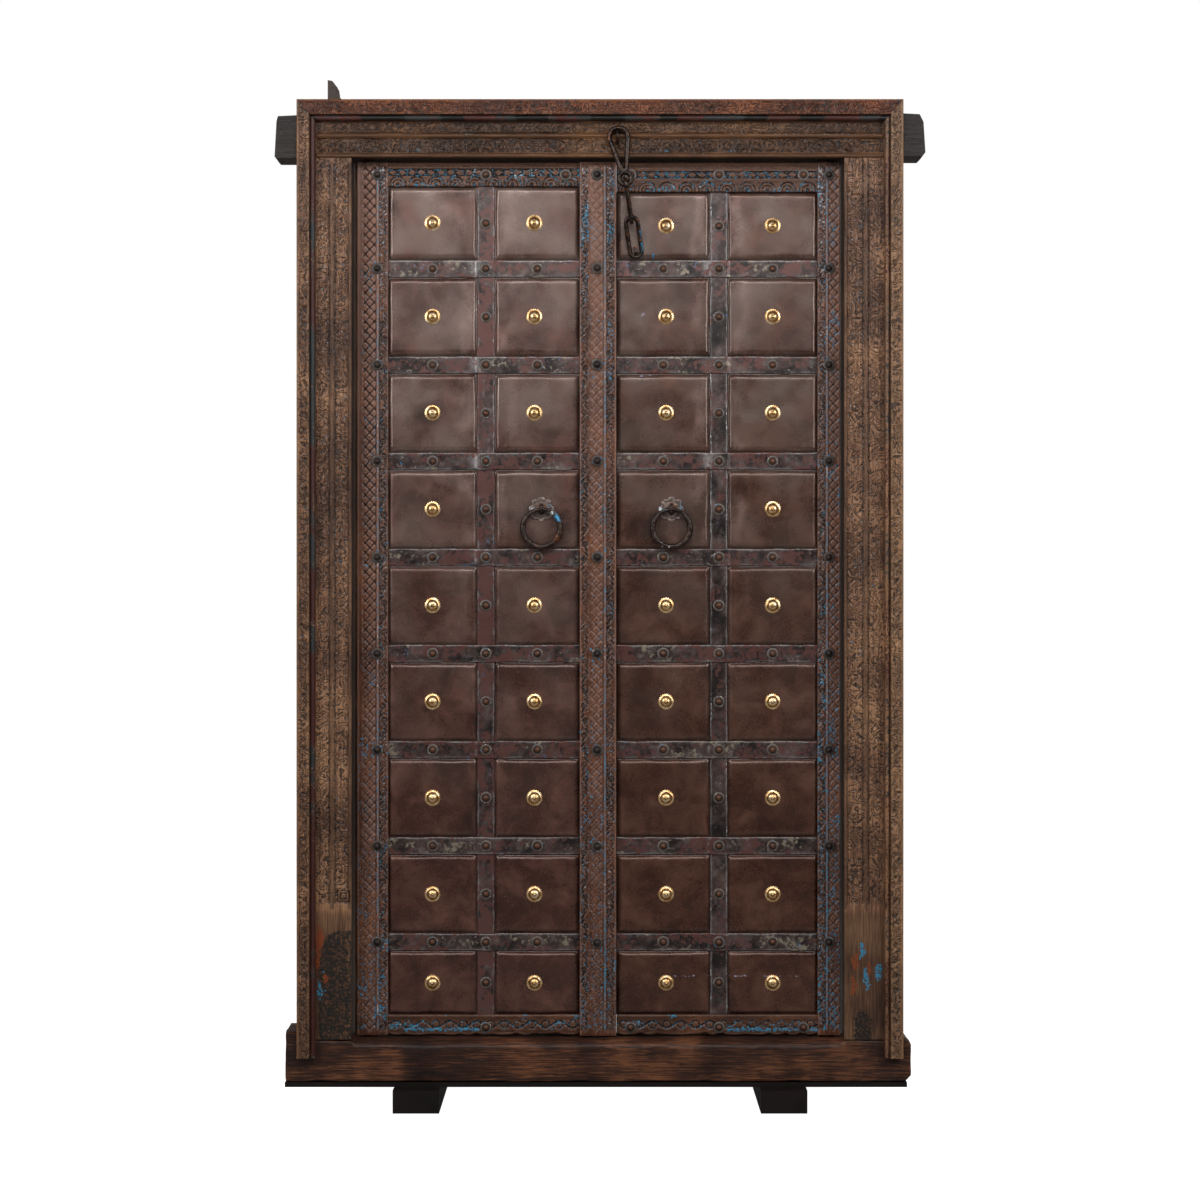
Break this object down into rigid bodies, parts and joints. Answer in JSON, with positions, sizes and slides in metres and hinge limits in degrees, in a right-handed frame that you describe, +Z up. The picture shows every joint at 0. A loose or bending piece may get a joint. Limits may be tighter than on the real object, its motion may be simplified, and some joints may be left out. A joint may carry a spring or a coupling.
{
  "type": "carved double door",
  "caption": "Old carved timber double door in its frame, iron-clad and brass-studded, with ring pulls and a chain latch, on a black steel base",
  "frame": {"origin": "middle of the footprint, on the floor", "axes": "+X to the viewer's right, +Y away from the viewer, +Z up"},
  "size_m": [1.368, 0.38, 2.169],
  "materials": {
    "timber": "old dry carved wood with traces of paint",
    "dark_timber": "old dark plain wood",
    "iron_sheet": "beaten iron sheet, brown patina, waxed",
    "wrought_iron": "forged iron, dark, rust in places",
    "brass": "polished brass",
    "black_steel": "black painted steel"
  },
  "bodies": {
    "frame": {"lintel": "timber", "left_jamb": "timber", "right_jamb": "timber", "sill": "dark_timber", "top_moulding": "timber", "left_moulding": "timber", "right_moulding": "timber", "base_bar": "black_steel", "left_foot": "black_steel", "right_foot": "black_steel", "lintel_staple": "wrought_iron"},
    "left_leaf": {"left_hinge_stile": "timber", "meeting_post": "timber", "left_top_rail": "timber", "left_bottom_rail": "timber", "left_planks": "dark_timber", "left_battens": "dark_timber", "left_lower_sheet": "iron_sheet", "left_upper_sheet": "iron_sheet", "left_upright_strap": "wrought_iron", "left_strap_1": "wrought_iron", "left_strap_2": "wrought_iron", "left_strap_3": "wrought_iron", "left_strap_4": "wrought_iron", "left_strap_5": "wrought_iron", "left_strap_6": "wrought_iron", "left_strap_7": "wrought_iron", "left_strap_8": "wrought_iron", "left_nails": "wrought_iron", "left_bosses": "brass", "left_ring_plate": "wrought_iron", "left_ring_staple": "wrought_iron"},
    "right_leaf": {"right_hinge_stile": "timber", "right_meeting_stile": "dark_timber", "right_top_rail": "timber", "right_bottom_rail": "timber", "right_planks": "dark_timber", "right_battens": "dark_timber", "right_lower_sheet": "iron_sheet", "right_upper_sheet": "iron_sheet", "right_upright_strap": "wrought_iron", "right_strap_1": "wrought_iron", "right_strap_2": "wrought_iron", "right_strap_3": "wrought_iron", "right_strap_4": "wrought_iron", "right_strap_5": "wrought_iron", "right_strap_6": "wrought_iron", "right_strap_7": "wrought_iron", "right_strap_8": "wrought_iron", "right_nails": "wrought_iron", "right_bosses": "brass", "right_ring_plate": "wrought_iron", "right_ring_staple": "wrought_iron", "chain_peg": "wrought_iron"},
    "left_ring": {"left_ring": "wrought_iron"},
    "right_ring": {"right_ring": "wrought_iron"},
    "hasp_link": {"hasp_link": "wrought_iron"},
    "middle_link": {"middle_link": "wrought_iron"},
    "end_link": {"end_link": "wrought_iron"}
  },
  "joints": [
    {"name": "left_leaf_swing", "type": "hinge", "parent": "frame", "child": "left_leaf", "pos_m": [-0.487, -0.085, 0.151], "axis": [0, 0, 1], "range_deg": [0, 95]},
    {"name": "right_leaf_swing", "type": "hinge", "parent": "frame", "child": "right_leaf", "pos_m": [0.481, -0.085, 0.151], "axis": [0, 0, -1], "range_deg": [0, 95]},
    {"name": "left_ring_lift", "type": "hinge", "parent": "left_leaf", "child": "left_ring", "pos_m": [-0.12375, -0.1225, 1.26237], "axis": [-1, 0, 0], "range_deg": [0, 150]},
    {"name": "right_ring_lift", "type": "hinge", "parent": "right_leaf", "child": "right_ring", "pos_m": [0.15075, -0.1225, 1.26237], "axis": [-1, 0, 0], "range_deg": [0, 150]},
    {"name": "hasp_swing", "type": "hinge", "parent": "frame", "child": "hasp_link", "pos_m": [0.0365, -0.162, 2.0595], "axis": [-0.9882, 0, -0.153], "range_deg": [0, 90]},
    {"name": "middle_link_swing", "type": "hinge", "parent": "hasp_link", "child": "middle_link", "pos_m": [0.05463, -0.162, 1.9424], "axis": [-0.9882, 0, -0.153], "range_deg": [0, 60]},
    {"name": "end_link_swing", "type": "hinge", "parent": "middle_link", "child": "end_link", "pos_m": [0.06511, -0.14365, 1.87472], "axis": [-0.9882, 0, -0.153], "range_deg": [0, 60]}
  ]
}
